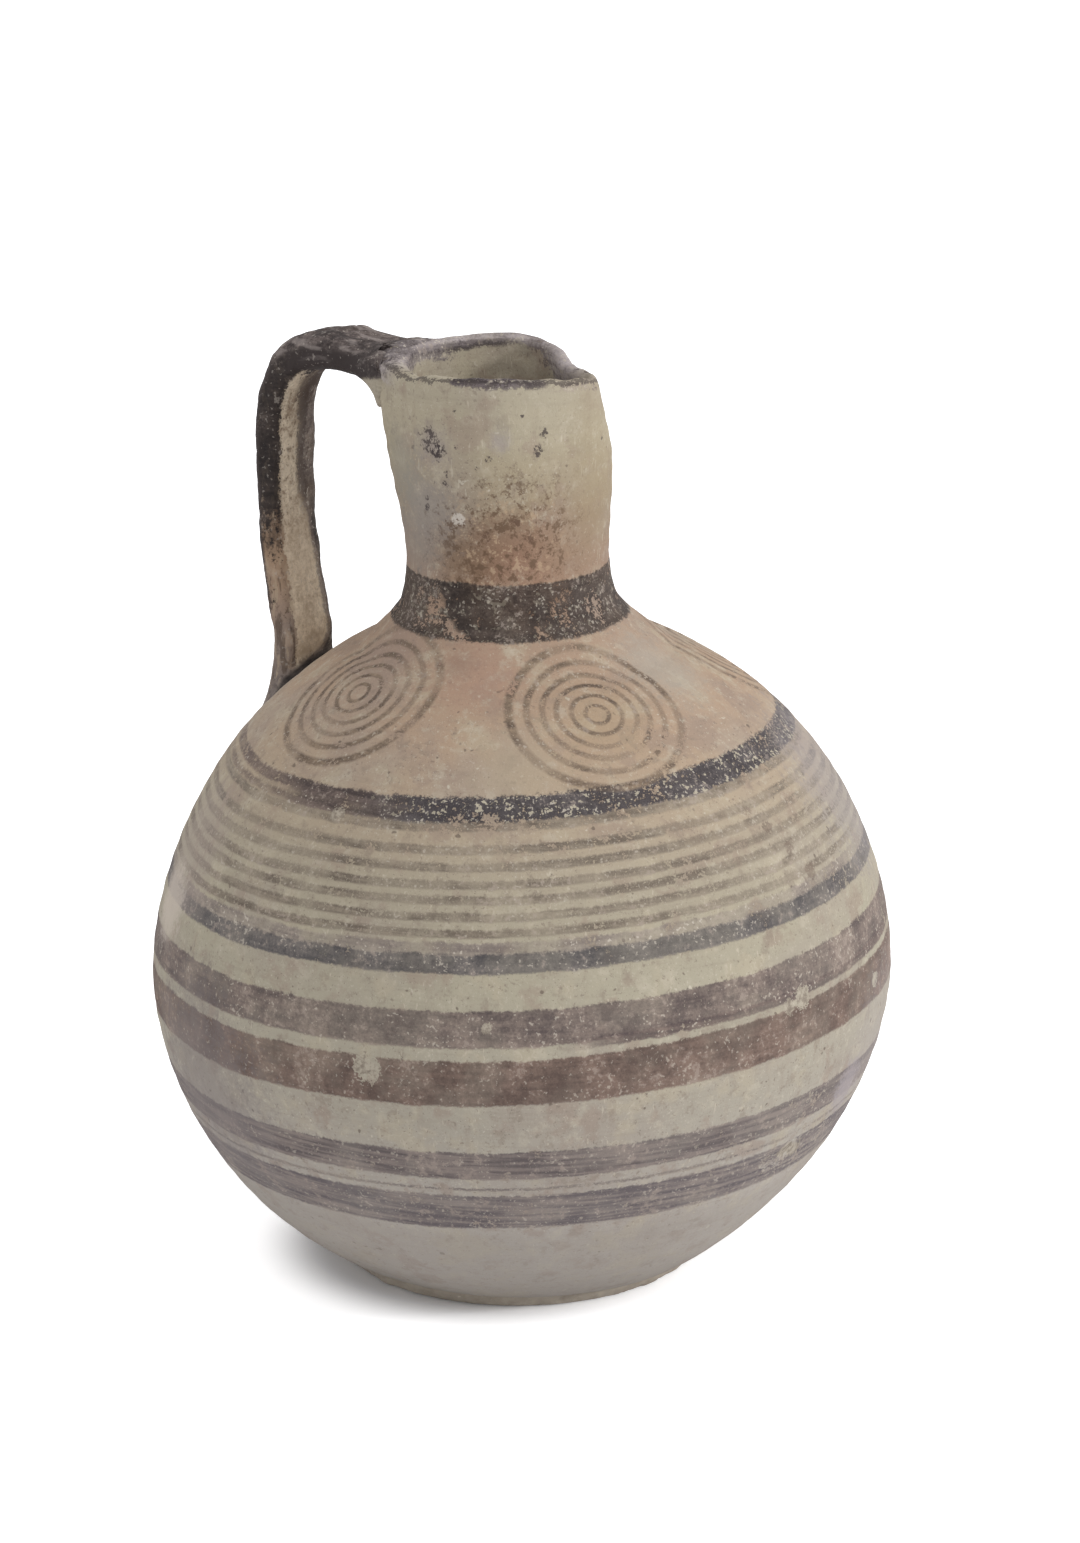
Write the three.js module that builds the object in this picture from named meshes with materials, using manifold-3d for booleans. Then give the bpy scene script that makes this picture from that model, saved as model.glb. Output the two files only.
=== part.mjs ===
// One-handled wheel-made jug with a round belly, a leaning neck and a pinched mouth.
// Millimetres, +Z up. The jug stands on the origin, its handle at -X and its spout near +X.

import * as THREE from 'three';
import { mergeVertices } from 'three/addons/utils/BufferGeometryUtils.js';
import Module from 'manifold-3d';

const wasm = await Module();
wasm.setup();

// Belly: a crown above its widest ring and a keel below it, both curved a little fuller than an ellipse.
const bellyRadius = 86;
const bellyHeight = 70;
const crownRise = 85.1;
const crownFullness = 1.87;
const keelDrop = 79.9;
const keelFullness = 1.8;
const bodyWall = 5;
const floorThickness = 6;

// Base disc, set in a little from the wall above it.
const baseRadius = 44;
const baseThickness = 4;
const baseEdgeRound = 1.4;

// Neck and mouth. The neck leans towards the handle above its collar.
const throatRadius = 23;
const neckSwellRadius = 24.3;
const neckSwellDrop = 21;
const mouthRadius = 25.5;
const rimHeight = 212.5;
const neckWall = 4.5;
const lipRise = 2;
const neckDepthInBody = 6;
const leanPerHeight = 0.05;

// Pinch: the rim is folded in on one side of the spout and pressed in a little on the other.
const pinchHeight = 24;
const foldAzimuth = 56;
const foldDepth = 7;
const foldHalfAngle = 46;
const foldDrop = 2;
const pressAzimuth = -72;
const pressDepth = 1.5;
const pressHalfAngle = 40;
const spoutAzimuth = -8;
const spoutPull = 2;
const spoutHalfAngle = 42;

// Collar of clay smoothed over the joint of neck and body.
const collarFootRadius = 37;
const collarFootThickness = 0.8;
const collarRise = 16;
const collarTopThickness = 0.8;

// Strap handle, as the middle line of the strap. Reaches count from its root on the shoulder, drops from the rim.
const strapWidth = 17;
const strapThickness = 7;
const strapEdgeRound = 2.6;
const rootHeight = 130;
const waistInset = 1.3;
const waistRise = 13;
const bowOutset = 2.2;
const turnDrop = 17;
const bendInset = 3.6;
const bendDrop = 4.3;
const archInset = 12.6;
const archDrop = 1.7;
const armDrop = 4.5;
const handleEndDepth = 5;
const rimFlare = 0.55;
const rimFlareLength = 22;
const rootFlare = 0.35;
const rootFlareLength = 20;

// Clay that lutes the strap to the rim, a hollow fillet under its arm, and to the shoulder, a low pad.
const rimPadReach = 13;
const rimPadDepth = 12;
const rimPadWidth = 16;
const rootPadHalfLength = 11;
const rootPadHalfWidth = 10.5;
const rootPadHalfHeight = 3.5;
const rootPadDrop = 7;
const rootPadTilt = -0.93;

// Gap left between pieces that touch.
const clearance = 0.3;

// Facets round the body, round the neck and along the strap.
const bodyFacets = 60;
const neckFacets = 48;
const strapSteps = 36;

// Height, above or below the widest ring, at which the wall stands at an angle round its curve.
function wallPoint(angle, grow) {
  const above = angle >= 0;
  const reach = (above ? crownRise : keelDrop) + grow;
  const fullness = above ? crownFullness : keelFullness;
  const height = Math.sign(angle) * reach * Math.abs(Math.sin(angle)) ** (2 / fullness);
  return new THREE.Vector2((bellyRadius + grow) * Math.cos(angle), bellyHeight + height);
}

// Angle round the wall's curve at a height.
function wallAngle(z, grow) {
  const above = z >= bellyHeight;
  const reach = (above ? crownRise : keelDrop) + grow;
  const fullness = above ? crownFullness : keelFullness;
  const share = Math.min(1, Math.abs(z - bellyHeight) / reach);
  return (above ? 1 : -1) * Math.asin(share ** (fullness / 2));
}

// Radius of the body's wall at a height, grown by an extra thickness.
function bodyRadiusAt(z, grow = 0) {
  return wallPoint(wallAngle(z, grow), grow).x;
}

// Height of the shoulder at a radius, grown by an extra thickness.
function shoulderHeightAt(radius, grow = 0) {
  return wallPoint(Math.acos(Math.min(1, radius / (bellyRadius + grow))), grow).y;
}

// Points along the wall from one height to another.
function wallPoints(z0, z1, grow, steps) {
  const angle0 = wallAngle(z0, grow);
  const angle1 = wallAngle(z1, grow);
  const points = [];
  for (let i = 0; i <= steps; i++) {
    points.push(wallPoint(angle0 + ((angle1 - angle0) * i) / steps, grow));
  }
  return points;
}

// A lathe turned so that its axis is Z.
function lathe(points, facets) {
  const geometry = new THREE.LatheGeometry(points, facets);
  geometry.rotateX(Math.PI / 2);
  return geometry;
}

// A geometry as a solid that can be joined and cut.
function toSolid(geometry) {
  const bare = geometry.clone();
  bare.deleteAttribute('normal');
  bare.deleteAttribute('uv');
  const merged = mergeVertices(bare, 1e-4);
  const vertProperties = Float32Array.from(merged.attributes.position.array);
  const triVerts = Uint32Array.from(merged.index.array);
  return new wasm.Manifold(new wasm.Mesh({ numProp: 3, vertProperties, triVerts }));
}

// A solid back as a geometry.
function toGeometry(solid) {
  const mesh = solid.getMesh();
  const geometry = new THREE.BufferGeometry();
  geometry.setAttribute('position', new THREE.BufferAttribute(Float32Array.from(mesh.vertProperties), 3));
  geometry.setIndex(new THREE.BufferAttribute(Uint32Array.from(mesh.triVerts), 1));
  geometry.computeVertexNormals();
  return geometry;
}

// Smooth step from 0 to 1.
function ease(t) {
  const s = Math.min(1, Math.max(0, t));
  return s * s * (3 - 2 * s);
}

// Smooth hump of height 1 at angle 0 that ends at a half angle, in degrees.
function hump(angle, halfAngle) {
  const wrapped = ((angle + 540) % 360) - 180;
  return 1 - ease(Math.abs(wrapped) / halfAngle);
}

const collarFootHeight = shoulderHeightAt(collarFootRadius);
const collarTopHeight = collarFootHeight + collarRise;
const neckFootHeight = shoulderHeightAt(throatRadius) - neckDepthInBody;

// Sideways place of the neck's middle at a height.
function neckShift(z) {
  return -leanPerHeight * Math.max(0, z - collarTopHeight);
}

// Folds the mouth in beside the spout, pulls the spout out and leans the neck.
function shapeNeck(geometry) {
  const position = geometry.attributes.position;
  for (let i = 0; i < position.count; i++) {
    const x = position.getX(i);
    const y = position.getY(i);
    const z = position.getZ(i);
    const radius = Math.max(Math.hypot(x, y), 1e-6);
    const azimuth = THREE.MathUtils.radToDeg(Math.atan2(y, x));
    const nearRim = ease((z - rimHeight + pinchHeight) / pinchHeight);
    const fold = hump(azimuth - foldAzimuth, foldHalfAngle);
    const press = hump(azimuth - pressAzimuth, pressHalfAngle);
    const spout = hump(azimuth - spoutAzimuth, spoutHalfAngle);
    const inward = nearRim * (foldDepth * fold + pressDepth * press - spoutPull * spout);
    const scale = 1 - (inward * Math.min(1, radius / throatRadius)) / Math.max(radius, throatRadius - neckWall);
    position.setXYZ(i, x * scale + neckShift(z), y * scale, z - nearRim * foldDrop * fold);
  }
  return geometry;
}

// Outside of the neck from its foot to its lip, grown by an extra thickness.
function neckOutline(grow, steps) {
  const curve = new THREE.SplineCurve([
    new THREE.Vector2(throatRadius + grow, neckFootHeight),
    new THREE.Vector2(throatRadius + grow, collarTopHeight),
    new THREE.Vector2(neckSwellRadius + grow, rimHeight - neckSwellDrop),
    new THREE.Vector2(mouthRadius + grow, rimHeight - lipRise),
  ]);
  return curve.getPoints(steps);
}

// Points over the lip from its outside edge round to an angle, grown by an extra thickness.
function lipPoints(grow, lastAngle, steps) {
  const points = [];
  for (let i = 1; i <= steps; i++) {
    const angle = (lastAngle * i) / steps;
    const x = mouthRadius - neckWall / 2 + (neckWall / 2 + grow) * Math.cos(angle);
    points.push(new THREE.Vector2(x, rimHeight - lipRise + (lipRise + grow) * Math.sin(angle)));
  }
  return points;
}

const clay = {
  slip: new THREE.MeshStandardMaterial({ color: 0x9b9384, roughness: 0.9, metalness: 0 }),
  banded: new THREE.MeshStandardMaterial({ color: 0x83746a, roughness: 0.9, metalness: 0 }),
  flushed: new THREE.MeshStandardMaterial({ color: 0xa39780, roughness: 0.9, metalness: 0 }),
  blackPaint: new THREE.MeshStandardMaterial({ color: 0x524843, roughness: 0.85, metalness: 0 }),
  brownPaint: new THREE.MeshStandardMaterial({ color: 0x6b5f58, roughness: 0.88, metalness: 0 }),
};

const jug = new THREE.Group();

function place(name, geometry, material) {
  const mesh = new THREE.Mesh(geometry, material);
  mesh.name = name;
  jug.add(mesh);
}

// Base disc, flat underneath, with a worn round on its lower edge.
function baseDisc() {
  const points = [new THREE.Vector2(0, 0)];
  const roundSteps = 3;
  for (let i = 0; i <= roundSteps; i++) {
    const angle = (Math.PI / 2) * (i / roundSteps - 1);
    const x = baseRadius - baseEdgeRound * (1 - Math.cos(angle));
    points.push(new THREE.Vector2(x, baseEdgeRound * (1 + Math.sin(angle))));
  }
  points.push(new THREE.Vector2(baseRadius, baseThickness));
  points.push(new THREE.Vector2(0, baseThickness));
  return lathe(points, bodyFacets);
}

// Lower half of the belly, thrown with its floor.
function lowerBody() {
  const bottom = baseThickness + clearance;
  const seam = bellyHeight - clearance / 2;
  const floorTop = bottom + floorThickness;
  const outer = wallPoints(bottom, seam, 0, 12);
  const inner = wallPoints(seam, floorTop, -bodyWall, 11);
  const points = [new THREE.Vector2(0, bottom), ...outer, ...inner, new THREE.Vector2(0, floorTop)];
  return lathe(points, bodyFacets);
}

// Upper half of the belly, up to the hole that the neck stands in.
function upperBody() {
  const seam = bellyHeight + clearance / 2;
  const hole = throatRadius + clearance;
  const outer = wallPoints(seam, shoulderHeightAt(hole), 0, 13);
  const inner = wallPoints(shoulderHeightAt(hole, -bodyWall), seam, -bodyWall, 12);
  return lathe([...outer, ...inner, outer[0].clone()], bodyFacets);
}

// Neck with its mouth, one thrown tube with a rounded lip.
function neckAndMouth() {
  const outer = neckOutline(0, 16);
  const lip = lipPoints(0, Math.PI, 6).slice(0, -1);
  const inner = neckOutline(-neckWall, 16).reverse();
  return shapeNeck(lathe([...outer, ...lip, ...inner, outer[0].clone()], neckFacets));
}

// Coil over the joint of neck and shoulder: it follows both, and its outside is one hollow sweep.
function neckCollar() {
  const inside = throatRadius + clearance;
  const underSteps = 6;
  const points = [];
  for (let i = 0; i <= underSteps; i++) {
    const radius = inside + ((collarFootRadius - inside) * i) / underSteps;
    points.push(new THREE.Vector2(radius, shoulderHeightAt(radius, clearance)));
  }
  const foot = points[underSteps];
  const sweep = new THREE.QuadraticBezierCurve(
    new THREE.Vector2(foot.x, foot.y + collarFootThickness),
    new THREE.Vector2(inside + collarTopThickness, shoulderHeightAt(throatRadius, clearance) + collarFootThickness),
    new THREE.Vector2(inside + collarTopThickness, collarTopHeight),
  );
  points.push(...sweep.getPoints(8));
  points.push(new THREE.Vector2(inside, collarTopHeight));
  points.push(points[0].clone());
  return lathe(points, neckFacets);
}

// Middle line of the strap, from the rim, over and down into the shoulder.
function handlePath() {
  const armStart = mouthRadius - handleEndDepth - neckShift(rimHeight);
  const rootReach = bodyRadiusAt(rootHeight);
  const archReach = rootReach - archInset;
  const bowReach = rootReach + bowOutset;
  const waistHeight = rootHeight + waistRise;
  const turnHeight = rimHeight - turnDrop;
  const stations = [
    [armStart, rimHeight - armDrop],
    [(armStart + archReach) / 2, rimHeight - (armDrop + archDrop) / 2],
    [archReach, rimHeight - archDrop],
    [rootReach - bendInset, rimHeight - bendDrop],
    [bowReach, turnHeight],
    [bowReach, (turnHeight + waistHeight) / 2],
    [rootReach - waistInset, waistHeight],
    [rootReach, rootHeight],
    [rootReach + handleEndDepth / 2, rootHeight - handleEndDepth],
  ];
  return new THREE.CatmullRomCurve3(stations.map(([reach, z]) => new THREE.Vector3(-reach, 0, z)));
}

// Widens the strap, or the fillet under it, where it is smeared onto the rim and onto the shoulder.
function flareStrap(geometry) {
  const position = geometry.attributes.position;
  for (let i = 0; i < position.count; i++) {
    const fromRim = -position.getX(i) - mouthRadius;
    const fromRoot = position.getZ(i) - rootHeight;
    const atRim = ease(1 - fromRim / rimFlareLength);
    const atRoot = ease(1 - fromRoot / rootFlareLength);
    position.setY(i, position.getY(i) * (1 + rimFlare * atRim + rootFlare * atRoot));
  }
  return geometry;
}

// Strap swept along its middle line, grown by an extra thickness.
function strapGeometry(grow) {
  const halfWidth = strapWidth / 2 + grow;
  const halfThickness = strapThickness / 2 + grow;
  const round = strapEdgeRound + grow;
  const section = new THREE.Shape();
  section.moveTo(-halfWidth + round, -halfThickness);
  section.absarc(halfWidth - round, -halfThickness + round, round, -Math.PI / 2, 0);
  section.absarc(halfWidth - round, halfThickness - round, round, 0, Math.PI / 2);
  section.absarc(-halfWidth + round, halfThickness - round, round, Math.PI / 2, Math.PI);
  section.absarc(-halfWidth + round, -halfThickness + round, round, Math.PI, Math.PI * 1.5);
  const options = { steps: strapSteps, extrudePath: handlePath(), curveSegments: 2 };
  return flareStrap(new THREE.ExtrudeGeometry(section, options));
}

// Flattened ball of clay at a place, turned about Y.
function padGeometry(halfLength, halfWidth, halfHeight, reach, z, tilt) {
  const geometry = new THREE.SphereGeometry(1, 20, 12);
  geometry.scale(halfLength, halfWidth, halfHeight);
  geometry.rotateY(tilt);
  geometry.translate(-reach, 0, z);
  return geometry;
}

// Space that the shoulder takes, with its clearance.
function shoulderSpace() {
  const top = bellyHeight + crownRise + clearance;
  const points = [new THREE.Vector2(0, bellyHeight), ...wallPoints(bellyHeight, top, clearance, 20)];
  points[points.length - 1].x = 0;
  return toSolid(lathe(points, bodyFacets));
}

// Space that the neck takes, filled to its axis, with its clearance.
function neckSpace() {
  const points = [new THREE.Vector2(0, neckFootHeight), ...neckOutline(clearance, 16)];
  points.push(...lipPoints(clearance, Math.PI / 2, 3));
  points.push(new THREE.Vector2(0, rimHeight + clearance));
  return toSolid(shapeNeck(lathe(points, neckFacets)));
}

const shoulder = shoulderSpace();
const neck = neckSpace();
const strap = toSolid(strapGeometry(0)).subtract(shoulder).subtract(neck);
const strapSpace = toSolid(strapGeometry(clearance));

// Fillet under the strap's arm, against the neck, with one hollow curve from the one to the other.
function rimPad() {
  const armHeight = rimHeight - armDrop;
  const underside = armHeight - strapThickness / 2;
  const neckReach = mouthRadius - neckShift(underside);
  const fillet = new THREE.Shape();
  fillet.moveTo(-throatRadius, armHeight + strapEdgeRound);
  fillet.lineTo(-throatRadius, underside - rimPadDepth);
  fillet.lineTo(-neckSwellRadius, underside - rimPadDepth);
  fillet.quadraticCurveTo(-neckReach, underside, -neckReach - rimPadReach, armHeight);
  fillet.lineTo(-neckReach - rimPadReach, armHeight + strapEdgeRound);
  const options = { depth: rimPadWidth, bevelEnabled: false, curveSegments: 8 };
  const geometry = new THREE.ExtrudeGeometry(fillet, options);
  geometry.rotateX(Math.PI / 2);
  geometry.translate(0, rimPadWidth / 2, 0);
  return toGeometry(toSolid(flareStrap(geometry)).subtract(neck).subtract(strapSpace));
}

// Pad at the strap's foot, smoothed down the shoulder.
function rootPad() {
  const z = rootHeight - rootPadDrop;
  const reach = bodyRadiusAt(z);
  const ball = toSolid(padGeometry(
    rootPadHalfLength, rootPadHalfWidth, rootPadHalfHeight, reach, z, rootPadTilt));
  return toGeometry(ball.subtract(shoulder).subtract(strapSpace));
}

place('base_disc', baseDisc(), clay.slip);
place('lower_body', lowerBody(), clay.banded);
place('upper_body', upperBody(), clay.banded);
place('neck_collar', neckCollar(), clay.blackPaint);
place('neck_and_mouth', neckAndMouth(), clay.flushed);
place('handle_strap', toGeometry(strap), clay.brownPaint);
place('handle_rim_pad', rimPad(), clay.blackPaint);
place('handle_root_pad', rootPad(), clay.blackPaint);

export default jug;
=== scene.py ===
import math

import bpy
import numpy as np
from mathutils import Matrix, Vector


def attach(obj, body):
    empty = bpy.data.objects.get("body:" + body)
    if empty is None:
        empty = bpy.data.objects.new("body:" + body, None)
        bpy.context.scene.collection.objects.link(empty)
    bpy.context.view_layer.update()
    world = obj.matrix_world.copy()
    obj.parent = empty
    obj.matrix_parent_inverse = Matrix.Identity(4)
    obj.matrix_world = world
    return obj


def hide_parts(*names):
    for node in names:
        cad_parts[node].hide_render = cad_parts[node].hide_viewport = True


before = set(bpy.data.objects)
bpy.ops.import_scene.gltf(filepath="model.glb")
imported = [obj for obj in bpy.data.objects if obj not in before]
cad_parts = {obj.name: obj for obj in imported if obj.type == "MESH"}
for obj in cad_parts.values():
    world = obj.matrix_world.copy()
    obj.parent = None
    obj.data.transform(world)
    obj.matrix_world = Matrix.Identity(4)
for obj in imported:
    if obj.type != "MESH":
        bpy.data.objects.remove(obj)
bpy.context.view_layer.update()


# Lower body: the lower half of the thrown belly with its floor, buff fired clay under a thin slip, with brown
# and grey bands brushed on as the wheel turned. It stands on the base disc. The wall and painted skin that
# start here serve all thrown pieces. Sizes are in millimetres, azimuths in degrees from the photo's right.
TURN = math.radians(30)    # from the photo's frame, where the camera looks along +Y, to the part's frame
SIDES = 512
BELLY_RADIUS = 86.0
BELLY_HEIGHT = 70.0
CROWN_RISE, CROWN_FULLNESS = 85.1, 1.87
KEEL_DROP, KEEL_FULLNESS = 79.85, 1.8
WALL = 5.0
WALL_FOOT = 4.3
FLOOR_TOP = 10.3
UNDERSIDE_RINGS, FLOOR_RINGS = [0, 22], [30, 15, 0]
SEAM_HEIGHT = 70.0
OVAL_TOP, OVAL_TOP_INSIDE = 147, 141.5
NECK_KNOTS = [(29.6, 152), (25.2, 157), (23.3, 163), (23.0, 172), (24.0, 184), (24.5, 194), (24.8, 203),
              (24.7, 209.6)]
BORE_KNOTS = [(25.5, 145.5), (20.5, 150), (18.8, 155), (18.5, 163), (18.6, 172), (19.4, 184), (20, 196),
              (20.7, 209.6)]
LINE_STEP, OUTER_STEP, INNER_STEP = 0.2, 0.85, 5
LIP_HEIGHT = 209.6
RIM_HEIGHT = 212.6
CREST_KNOTS = [(-192, 213.5), (-180, 212.6), (-165, 211.9), (-150, 211.8), (-135, 212.6), (-120, 213.1),
               (-90, 213.3), (-60, 212.8), (-40, 211.8), (-20, 210.7), (0, 210.6), (15, 211.1), (35, 211.9),
               (63, 213.1), (90, 214.3), (118, 214), (132, 213.9), (145, 214.5), (157, 214.6), (168, 213.5),
               (180, 212.6), (195, 211.9)]
CREST_STEP, CREST_GRAIN = 3.0, 0.12
SADDLE_AZIMUTH, SADDLE_SPREAD, SADDLE_SWELL, SADDLE_HEIGHT = 158.0, 52.0, 6.5, 45.0
AXIS_HEIGHTS = [0, 40, 80, 112, 135, 160, 190, 214]
AXIS_SHIFTS = [0, -0.1, 1.0, 1.7, 1.2, -1.6, -2.7, -2.3]
PINCH_HEIGHT = 24.0
MOUTH_FOLDS = [(0.5, -45, 30), (-7.5, 24, 60), (-1.0, -100, 50)]
SPOUT_FOLD, SPOUT_STEEPNESS = (-1.3, -10, 45), 6
BORE_FOLDS = [(1.2, -30, 45), (1.6, SADDLE_AZIMUTH, SADDLE_SPREAD)]
STILL_RADIUS = 12
RELIEF, DENT_SIZE, RING_RATE = 0.12, 70, 1.15
SCARS = [(-43, 81.2, 2.3, -0.35), (-113, 73, 2.3, -0.35), (-20, 75, 1.6, -0.3), (-40, 42, 2.7, -0.4),
         (-128, 122.3, 1.7, 0.9)]


def oval(angle, grow=0.0):
    """Belly wall (radius, height) round its section: the radius goes by the cosine, the height by the sine
    raised to two over the fullness."""
    above = angle >= 0
    reach = np.where(above, CROWN_RISE, KEEL_DROP) + grow
    power = 2 / np.where(above, CROWN_FULLNESS, KEEL_FULLNESS)
    height = np.sign(angle) * reach * np.abs(np.sin(angle)) ** power
    return np.stack([(BELLY_RADIUS + grow) * np.cos(angle), BELLY_HEIGHT + height], -1)


def oval_angle(z, grow=0.0):
    """Angle round the belly's section at a height: arc sine of the height's share to half the fullness."""
    above = z >= BELLY_HEIGHT
    reach = (CROWN_RISE if above else KEEL_DROP) + grow
    power = (CROWN_FULLNESS if above else KEEL_FULLNESS) / 2
    return (1 if above else -1) * math.asin(min(1.0, abs(z - BELLY_HEIGHT) / reach) ** power)


def spline(knots, step):
    """Catmull-Rom curve: each span is a cubic whose slope at a knot is half its neighbours' difference."""
    k = np.asarray(knots, float)
    k = np.concatenate([[2 * k[0] - k[1]], k, [2 * k[-1] - k[-2]]])
    spans = []
    for p0, p1, p2, p3 in zip(k, k[1:], k[2:], k[3:]):
        count = max(1, round(np.linalg.norm(p2 - p1) / step))
        t = (np.arange(count) / count)[:, None]
        bend = (2 * p0 - 5 * p1 + 4 * p2 - p3) * t**2 + (3 * p1 - p0 - 3 * p2 + p3) * t**3
        spans.append(0.5 * (2 * p1 + (p2 - p0) * t + bend))
    return np.concatenate([*spans, k[-2:-1]])


def stretch(line, low, high, step):
    """Part of a rising line between two heights, as points at even steps of its length."""
    run = np.concatenate([[0], np.cumsum(np.linalg.norm(np.diff(line, axis=0), axis=1))])
    ends = np.interp([low, high], line[:, 1], run)
    t = np.linspace(*ends, round((ends[1] - ends[0]) / step) + 1)
    return np.stack([np.interp(t, run, line[:, 0]), np.interp(t, run, line[:, 1])], -1)


def smooth(share):
    """Smooth step: 3 s^2 - 2 s^3 of a share held between 0 and 1."""
    s = np.clip(share, 0, 1)
    return s * s * (3 - 2 * s)


def azimuth_of(x, y):
    """Azimuth of a place from the photo's right, from -180 to 180 degrees: its own angle less the turn."""
    return (np.degrees(np.arctan2(y, x) - TURN) + 180) % 360 - 180


def humps(azimuth, *folds):
    """Sum of smooth humps, each of an amount at its middle azimuth and 0 from half its width on."""
    between = [np.abs((azimuth - middle + 180) % 360 - 180) / half for _, middle, half in folds]
    return sum(fold[0] * (1 - smooth(share)) for fold, share in zip(folds, between))


def grain(points, size, seed, waves=40):
    """Random relief of unit spread: a sum of plane waves of random way and phase, about a size in length."""
    rng = np.random.default_rng(seed)
    way = rng.normal(size=(waves, 3))
    way *= (2 * math.pi / size * rng.uniform(0.6, 1.7, waves) / np.linalg.norm(way, axis=1))[:, None]
    return np.cos(points @ way.T + rng.uniform(0, 2 * math.pi, waves)).sum(-1) * math.sqrt(2 / waves)


def axis_shift(z):
    """Sideways place (x, y) of the jug's axis at a height, along the photo's right."""
    along = np.interp(z, AXIS_HEIGHTS, AXIS_SHIFTS)
    return along * math.cos(TURN), along * math.sin(TURN)


crest_line = spline(CREST_KNOTS, CREST_STEP)


def crest(azimuth):
    """Height of the uneven rim at an azimuth."""
    return np.interp(azimuth, crest_line[:, 0], crest_line[:, 1])


def saddle(azimuth, z):
    """How far the neck swells towards the handle: a hump in azimuth that grows from below up to the rim."""
    grown = smooth((z - RIM_HEIGHT + SADDLE_HEIGHT) / SADDLE_HEIGHT)
    return SADDLE_SWELL * grown * humps(azimuth, (1, SADDLE_AZIMUTH, SADDLE_SPREAD))


def settle(points):
    """From a true lathe shape to the jug's own: mouth folded, spout drawn out, neck swollen at the handle,
    crest uneven, axis leant. Each move is a hump in azimuth that fades in below the rim. Out is the share of
    the wall's thickness that a point has on its inner side."""
    x, y, z = points.T
    azimuth = azimuth_of(x, y)
    radius = np.hypot(x, y) + 1e-9
    near = smooth((z - RIM_HEIGHT + PINCH_HEIGHT) / PINCH_HEIGHT)
    out = np.clip((radius - np.interp(z, inside[:, 1], inside[:, 0])) / WALL, 0, 1)
    move = near * humps(azimuth, *MOUTH_FOLDS) + near**SPOUT_STEEPNESS * humps(azimuth, SPOUT_FOLD)
    move = move + (1 - out) * near * humps(azimuth, *BORE_FOLDS) + out * saddle(azimuth, z)
    turned = radius + np.where(radius > STILL_RADIUS, move, 0)
    uneven = crest(azimuth) - RIM_HEIGHT + CREST_GRAIN * grain(points, 8, 31)
    dx, dy = axis_shift(z)
    return np.stack([x / radius * turned + dx, y / radius * turned + dy, z + near**2 * uneven], -1)


def corners(rows, sides):
    """For each quad in rows of a closed ring, the number of its own point and of the next round the ring."""
    at = np.arange(sides)
    return (rows[:, None] * sides + at).ravel(), (rows[:, None] * sides + (at + 1) % sides).ravel()


def solid(name, points, faces, sharp=40):
    """Object of a closed mesh given in millimetres, smooth but for its corners."""
    mesh = bpy.data.meshes.new(name)
    mesh.from_pydata((points * 0.001).tolist(), [], faces)
    mesh.shade_smooth()
    mesh.set_sharp_from_angle(angle=math.radians(sharp))
    thing = bpy.data.objects.new(name, mesh)
    bpy.context.scene.collection.objects.link(thing)
    return thing


def store(thing, name, values):
    """Keeps one number per point on a mesh, for its material to read."""
    thing.data.attributes.new(name, "FLOAT", "POINT").data.foreach_set("value", values.astype(np.float32))


def thrown(name, outline, relief):
    """Mesh of a thrown piece: an outline (radius, height) turned round the axis, a relief added to its
    radius, then settled. An outline from axis to axis closes in two poles, any other closes on itself."""
    line = np.asarray(outline, float)
    poles = line[0, 0] == 0 and line[-1, 0] == 0
    ring = line[1:-1] if poles else line
    turn = np.arange(SIDES) * (2 * math.pi / SIDES)
    way = np.stack([np.cos(turn), np.sin(turn), 0 * turn], -1)
    bare = (ring[:, None, :1] * way + ring[:, None, 1:] * [0, 0, 1]).reshape(-1, 3)
    points = settle(bare + np.tile(way, (len(ring), 1)) * relief(bare)[:, None])
    count = len(points)
    a, b = corners(np.arange(len(ring) - 1 if poles else len(ring)), SIDES)
    faces = np.stack([a, b, (b + SIDES) % count, (a + SIDES) % count], -1).tolist()
    if poles:
        points = np.concatenate([points, [[0, 0, line[0, 1]], [0, 0, line[-1, 1]]]])
        first, last = np.arange(SIDES), count - SIDES + np.arange(SIDES)
        faces += np.stack([np.full(SIDES, count), np.roll(first, -1), first], -1).tolist()
        faces += np.stack([np.full(SIDES, count + 1), last, np.roll(last, -1)], -1).tolist()
    thing = solid(name, points, faces)
    wall_middle = sum(np.interp(bare[:, 2], wall[:, 1], wall[:, 0]) for wall in (outside, inside)) / 2
    store(thing, "outside", np.pad(np.hypot(bare[:, 0], bare[:, 1]) > wall_middle, (0, len(points) - count)))
    return thing


def throwing(points):
    """Relief of a thrown wall: slow dents, soft rings left by fingers and a fine grain, and each scar as a
    hollow or lump with a flat top, which is e to the minus cube of the distance over its size."""
    rings = np.sin(points[:, 2] * RING_RATE + 0.8 * grain(points * [0.02, 0.02, 0.2], 3, 11))
    wall = RELIEF * (2.2 * grain(points, DENT_SIZE, 11) + 0.45 * rings + 0.3 * grain(points, 5, 12))
    azimuth = azimuth_of(points[:, 0], points[:, 1])
    for middle, level, size, height in SCARS:
        across = np.radians((azimuth - middle + 180) % 360 - 180) * np.hypot(points[:, 0], points[:, 1])
        wall = wall + height * np.exp(-((across**2 + (points[:, 2] - level) ** 2) / size**2) ** 1.5)
    return wall


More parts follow.
